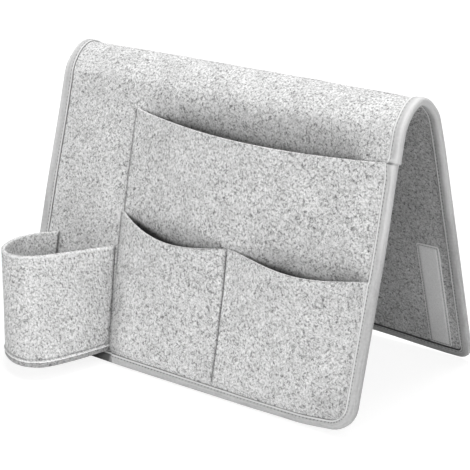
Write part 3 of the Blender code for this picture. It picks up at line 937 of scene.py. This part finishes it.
def route_stitches(points, outs, pitch=stitch_pitch, gap_share=stitch_gap):
    """Evenly spaced stitches along a fine route of points with their ways out."""
    points, outs = np.asarray(points), np.asarray(outs)
    length = run_length(points)
    count = max(int(round(length[-1] / pitch)), 1)
    found = []
    step = length[-1] / count

    def at(d, values):
        return np.array([np.interp(d, length, values[:, c]) for c in range(3)])

    for k in range(count):
        first, final = (k + gap_share / 2) * step, (k + 1 - gap_share / 2) * step
        out = at((first + final) / 2, outs)
        found.append((at(first, points), at(final, points), out / np.linalg.norm(out)))
    return found


def skin_route(side, x, s, h):
    place = skin(side, x, s, h)
    out = skin(side, x, s, h + MM) - place
    return place, out / np.linalg.norm(out, axis=-1, keepdims=True)


def add_tape_stitches(side):
    run, x, s, dx, ds, width = tape_stations(side)
    lift = tucked(x, s) if side == "front" else np.zeros_like(x)
    depth = width - band_seam_inset
    items = []
    for face, word in ((1, "outer"), (-1, "inner")):
        height = face * (half_felt + (lift if face > 0 else 0) + 0.36 * MM)
        place, out = skin_route(side, x + dx * depth, s + ds * depth, height)
        found = []
        for k in range(0, len(run) - 4, 4):
            a, b = place[k], place[k + 4]
            gap = (b - a) * stitch_gap
            found.append((a + gap, b - gap, out[k + 2] * face))
        item = stitch_mesh("tape_stitches_" + side + "_" + word, found)
        dress(item, shade_dark_thread_look)
        follow_fold(item, side)
        items.append(item)
    return items


tape_stitches = {side: add_tape_stitches(side) for side in ("front", "back")}
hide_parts("front_binding_thread_upper", "ridge_thread_outer_left",
            "ridge_thread_outer_right")
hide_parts("front_binding_thread_under", "ridge_thread_inner_left",
            "ridge_thread_inner_right")
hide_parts("back_binding_thread_upper")
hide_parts("back_binding_thread_under")


def pocket_seam(name, first, final, inner):
    """A row of stitches down a pocket's left edge, or down the divider."""
    s = np.linspace(first, final, 160)
    u = np.full_like(s, phone_divider) if name == "divider" else left_edge(s) + pocket_seam_inset
    pull = seam_pull(u, s, name == "divider")
    height = inner(u, s) + ripple(u, s, *pocket_wave) + felt * squeeze(u, s) * (1 - seam_bite * pull)
    place, out = skin_route("front", u - half_width, s, height)
    item = stitch_mesh(name + "_stitches", route_stitches(place, out))
    dress(item, shade_dark_seam_thread_look)
    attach(item, "front_flap")
    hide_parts(name + "_thread")
    return item


pocket_seams = [
    pocket_seam("large_pocket", large_mouth + 2 * MM, phone_mouth - 2 * MM, large_inner),
    pocket_seam("phone_pocket", phone_mouth + 2 * MM, sheet_bottom - 1 * MM, phone_inner),
    pocket_seam("divider", divider_top + 2.5 * MM, sheet_bottom - 1 * MM, phone_inner),
]


# The cup loop
def smooth_points(points, steps):
    """Catmull-Rom curve through plan points, with the ends carried straight on."""
    before = [2 * a - b for a, b in zip(points[0], points[1])]
    after = [2 * a - b for a, b in zip(points[-1], points[-2])]
    keys = np.array([before, *points, after])
    found = []
    for i in range(1, len(keys) - 2):
        p0, p1, p2, p3 = keys[i - 1:i + 3]
        for k in range(steps):
            t = k / steps
            found.append(0.5 * (2 * p1 + (p2 - p0) * t + (2 * p0 - 5 * p1 + 4 * p2 - p3) * t ** 2
                                + (3 * p1 - p0 - 3 * p2 + p3) * t ** 3))
    found.append(keys[-2])
    return np.array(found)


def front_face(height):
    """Distance of the front panel's outer felt face from the fold's axis, at a height."""
    return (fold_radius + half_felt + (axis_z - height) * math.sin(front_lean)) / math.cos(front_lean)


cup_steps = 14


def cup_loop(shares, front_seam, height):
    span = front_seam - cup_back_seam
    points = [(cup_back_seam - half_width + a * span, b * cup_reach) for a, b in shares]
    loop = smooth_points(points, cup_steps)
    return np.stack([loop[:, 0], axis_y - front_face(height) - loop[:, 1]], -1)


rim_loop = cup_loop(rim_plan_shares, cup_rim_front_seam, cup_rim_height)
base_loop = cup_loop(base_plan_shares, cup_base_front_seam, cup_base_height)


def loop_outward(loop):
    along = np.gradient(loop, axis=0)
    out = np.stack([along[:, 1], -along[:, 0]], -1)
    out /= np.linalg.norm(out, axis=1, keepdims=True)
    centre = loop.mean(0)
    if ((loop - centre) * out).sum() < 0:
        out = -out
    return out


def cup_wall(height):
    """The wall's outer outline at a height."""
    share = (height - cup_base_height) / (cup_rim_height - cup_base_height)
    return base_loop + (rim_loop - base_loop) * share


def add_cup():
    low = cup_base_height + felt + 0.1 * MM
    heights = np.concatenate([low + np.array([0.0, 0.4, 0.9, 1.3, 1.6, 2.0, 2.5, 3.2, 4.2]) * MM,
                              np.linspace(low + 6 * MM, cup_rim_height, 34)])
    outer, inner = [], []
    for z in heights[::-1]:
        loop = cup_wall(z)
        out = loop_outward(loop)
        lip = 0.9 * MM * (1 - step_mm(1.0, 1.7, z - low)) - 0.5 * MM * bell(z - low - cup_seam_rise, 0.6)
        along = np.linspace(0, 1, len(loop))
        uneven = ripple(along * 0.22, z * np.ones_like(along), *cup_wave)
        uneven = uneven * np.sin(math.pi * along) ** 0.5
        face = loop + out * (lip + uneven)[:, None]
        back = loop + out * (uneven - felt)[:, None]
        outer.append(np.column_stack([face, np.full(len(loop), z)]))
        inner.append(np.column_stack([back, np.full(len(loop), z)]))
    wall = slab("cup_wall", np.array(outer), np.array(inner))
    rise = heights[::-1] - low
    # Painted shade: in the gaps where the wall's inner ends meet the sheet, along the base seam, and on the
    # wall's outer end at the front
    under = np.zeros((len(heights), len(loop)))
    under[:, [0, -1]] = 1.0
    painted_shade = np.repeat(0.45 * bell(rise - cup_seam_rise, 0.5)[:, None], len(loop), 1)
    painted_shade[:, -1] = np.maximum(painted_shade[:, -1], 0.85)
    mark_slab(wall, "painted_shade", painted_shade, under)
    # Paler cut edges with a painted highlight: the lip round the wall's foot, and the rim's top edge
    pale = np.repeat(np.where((rise > 0.6 * MM) & (rise < 1.1 * MM), 0.75, 0.0)[:, None], len(loop), 1)
    pale[0] = 0.5
    mark_slab(wall, "pale_edge_and_highlight", pale)

    loop = base_loop
    middle = np.array([loop[:, 0].mean(), loop[:, 1].max() - 1 * MM])
    proud = 0.5 * MM * np.sin(math.pi * np.linspace(0, 1, len(loop))) ** 0.4
    wide = loop + loop_outward(loop) * proud[:, None]
    rings = [wide * t + middle * (1 - t) for t in np.linspace(1.0, 0.02, 18)]
    high, under = (np.array([np.column_stack([r, np.full(len(r), z)]) for r in rings])
                   for z in (cup_base_height + felt, cup_base_height))
    base = slab("cup_base", high, under)
    # Painted shade over the whole base, seen at its edge below the wall
    set_mark(base, "painted_shade", np.full(len(base.data.vertices), 0.5))

    z = low + cup_seam_rise
    loop = cup_wall(z)
    out = loop_outward(loop)
    place = np.column_stack([loop - out * 0.5 * MM, np.full(len(loop), z)])
    ways = np.column_stack([out, np.zeros(len(loop))])
    seam = stitch_mesh("cup_base_stitches", route_stitches(place[2:-2], ways[2:-2], gap_share=0.35))
    for item, look, slot, node in ((wall, felt_look, "felt", "cup_wall_felt"),
                                   (base, felt_look, "felt", "cup_base_felt"),
                                   (seam, shade_dark_seam_thread_look, "thread", "cup_base_thread")):
        dress(item, look)
        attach(item, "front_flap")
        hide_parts(node)
    return wall, base, seam


cup = add_cup()


# Hook-and-loop strips
def add_strip(kind, side, sign, word):
    outer = half_width - side_band - strip_inset
    left, right = sorted((sign * outer, sign * (outer - strip_width)))
    top, bottom = strip_top, DROP[side] - bottom_band - touch_gap - strip_foot_gap + strip_extra
    border = [0.0, 0.6, 1.2, 1.8, 2.4]
    cols = np.concatenate([border, np.linspace(2.9, 17.1, 30), [17.6, 18.2, 18.8, 19.4, 20.0]]) * MM
    rows = np.concatenate([border, np.linspace(2.9, 95.4, 186), [95.9, 96.5]]) * MM
    rows = rows * (bottom - top) / rows[-1]
    x = left + cols[None, :] * np.ones((len(rows), 1))
    s = top + rows[:, None] * np.ones((1, len(cols)))
    shift = settle(side, x, s)[0]
    edge = np.minimum(np.minimum(x - left, right - x), np.minimum(s - top, bottom - s))
    pile = step_mm(2.2, 3.0, edge)
    rough = random.Random(7)
    fuzz = np.array([[rough.uniform(-1, 1) for _ in cols] for _ in rows]) * 0.12 * MM
    lift = strip_border + pile * (strip_thick - strip_border + fuzz)
    base = half_felt + 0.05 * MM
    dx, ds = x - (left + right) / 2, s - (top + bottom) / 2
    cx = np.clip(np.abs(dx) - (strip_width / 2 - strip_corner), 0, None)
    cs = np.clip(np.abs(ds) - ((bottom - top) / 2 - strip_corner), 0, None)
    span = np.sqrt(cx ** 2 + cs ** 2)
    pull = np.where(span > strip_corner, strip_corner / np.maximum(span, 1e-9), 1.0)
    x = x - np.sign(dx) * cx * (1 - pull)
    s = s - np.sign(ds) * cs * (1 - pull)
    high = skin(side, x - shift, s, -(base + lift))
    low = skin(side, x - shift, s, -np.full_like(x, base))
    item = slab(kind + "_strip_cloth_" + word, high, low, soft=0.2 * MM)
    # A paler woven border, and painted shade along the row of stitches inside it
    mark_slab(item, "pale_edge_and_highlight", np.where(edge < 0.8 * MM, 1.0, 0.0))
    mark_slab(item, "painted_shade", np.where(np.abs(edge - 1.5 * MM) < 0.5 * MM, 0.45, 0.0))
    dress(item, strip_look)
    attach(item, side + "_flap")
    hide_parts(kind + "_strip_" + word)

    inset = 1.3 * MM
    r = 1.2 * MM
    route = []
    corners = ((right - inset - r, top + inset + r, -90), (right - inset - r, bottom - inset - r, 0),
               (left + inset + r, bottom - inset - r, 90), (left + inset + r, top + inset + r, 180))
    for cx0, cs0, turn in corners:
        for k in range(7):
            a = math.radians(turn + 90 * k / 6)
            route.append((cx0 + r * math.cos(a), cs0 + r * math.sin(a)))
    route.append(route[0])
    fine = []
    for (xa, sa), (xb, sb) in zip(route, route[1:]):
        n = max(int(math.hypot(xb - xa, sb - sa) / MM), 1)
        fine += [(xa + (xb - xa) * k / n, sa + (sb - sa) * k / n) for k in range(n)]
    fine.append(route[0])
    fx, fs = np.array(fine).T
    place, out = skin_route(side, fx - settle(side, fx, fs)[0], fs, -np.full_like(fx, base + 0.62 * MM))
    seam = stitch_mesh(kind + "_strip_stitches_" + word, route_stitches(place, -out, 2.6 * MM, 0.45), 0.24 * MM)
    dress(seam, shade_dark_seam_thread_look)
    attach(seam, side + "_flap")
    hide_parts(kind + "_strip_" + word + "_thread")
    return item, seam


strips = [add_strip(kind, side, sign, word) for kind, side in (("hook", "front"), ("loop", "back"))
          for sign, word in ((-1, "left"), (1, "right"))]


# Stage, light and camera
def add_floor():
    mat = bpy.data.materials.new("pale_floor")
    mat.use_nodes = True
    tree = mat.node_tree
    tree.nodes.clear()
    white = (1.0, 1.0, 1.0, 1.0)
    matte = add_node(tree, "ShaderNodeBsdfDiffuse", {0: (0.9, 0.9, 0.9, 1.0)}).outputs[0]
    glow = add_node(tree, "ShaderNodeEmission", {0: white, 1: 1.2}).outputs[0]
    seen = add_node(tree, "ShaderNodeLightPath").outputs["Is Camera Ray"]
    coords = add_node(tree, "ShaderNodeTexCoord").outputs["Object"]
    away = add_node(tree, "ShaderNodeVectorMath", {0: coords}, operation="LENGTH").outputs["Value"]
    share = math_node(tree, "MULTIPLY", seen, ramp_colour(tree, away, ((0.25, 0.72), (0.80, 1.0)), "EASE"))
    both = add_node(tree, "ShaderNodeMixShader", {0: share, 1: matte, 2: glow}).outputs[0]
    add_node(tree, "ShaderNodeOutputMaterial", {0: both})
    size = 12.0
    points = [(-size, -size, 0), (size, -size, 0), (size, size, 0), (-size, size, 0)]
    floor = make_object("floor", [Vector(p) for p in points], [(0, 1, 2, 3)])
    floor.location.z = -1.8 * MM
    floor.data.materials.append(mat)


def add_world(level):
    world = bpy.data.worlds.new("studio")
    bpy.context.scene.world = world
    world.use_nodes = True
    tree = world.node_tree
    tree.nodes.clear()
    path = add_node(tree, "ShaderNodeLightPath")
    seen = math_node(tree, "MAXIMUM", path.outputs["Is Camera Ray"], path.outputs["Is Glossy Ray"])
    seen = math_node(tree, "MAXIMUM", seen, path.outputs["Is Transmission Ray"])
    strength = math_node(tree, "ADD", math_node(tree, "MULTIPLY", seen, 1.0 - level), level)
    back = add_node(tree, "ShaderNodeBackground", {0: (1.0, 1.0, 1.0, 1.0), 1: strength})
    add_node(tree, "ShaderNodeOutputWorld", {0: back.outputs[0]})


def face_along(data, azimuth, elevation, middle, distance=0.0):
    """Adds a lamp or the camera, looking from an azimuth and elevation, back from a middle by a distance."""
    item = bpy.data.objects.new(data.name, data)
    bpy.context.scene.collection.objects.link(item)
    a, e = math.radians(azimuth), math.radians(elevation)
    back = Vector((math.sin(a) * math.cos(e), -math.cos(a) * math.cos(e), math.sin(e)))
    item.location = Vector(middle) + back * distance
    item.rotation_mode = "QUATERNION"
    item.rotation_quaternion = (-back).to_track_quat("-Z", "Y")
    return item


def add_softbox(name, azimuth, elevation, distance, size, power):
    lamp = bpy.data.lights.new(name, "AREA")
    lamp.shape = "SQUARE"
    lamp.size = size
    lamp.energy = power
    face_along(lamp, azimuth, elevation, (0.0, 0.0, 0.1), distance)


def add_camera():
    data = bpy.data.cameras.new("camera")
    data.sensor_width = 36.0
    data.lens = 124.07
    data.clip_start, data.clip_end = 0.05, 50.0
    bpy.context.scene.camera = face_along(data, 36.8035, 19.5310, (0.7231, -0.9484, 0.5286))


add_floor()
add_world(0.145)
add_softbox("key", 0.0, 15.0, 1.9, 0.6, 14.3)
add_softbox("fill", 66.0, 46.0, 1.5, 0.5, 4.2)
add_softbox("rim", 118.0, 12.0, 1.6, 0.5, 0.8)
add_softbox("top", 180.0, 82.0, 1.6, 0.9, 23.5)
add_camera()
bpy.context.scene.view_settings.view_transform = "Standard"
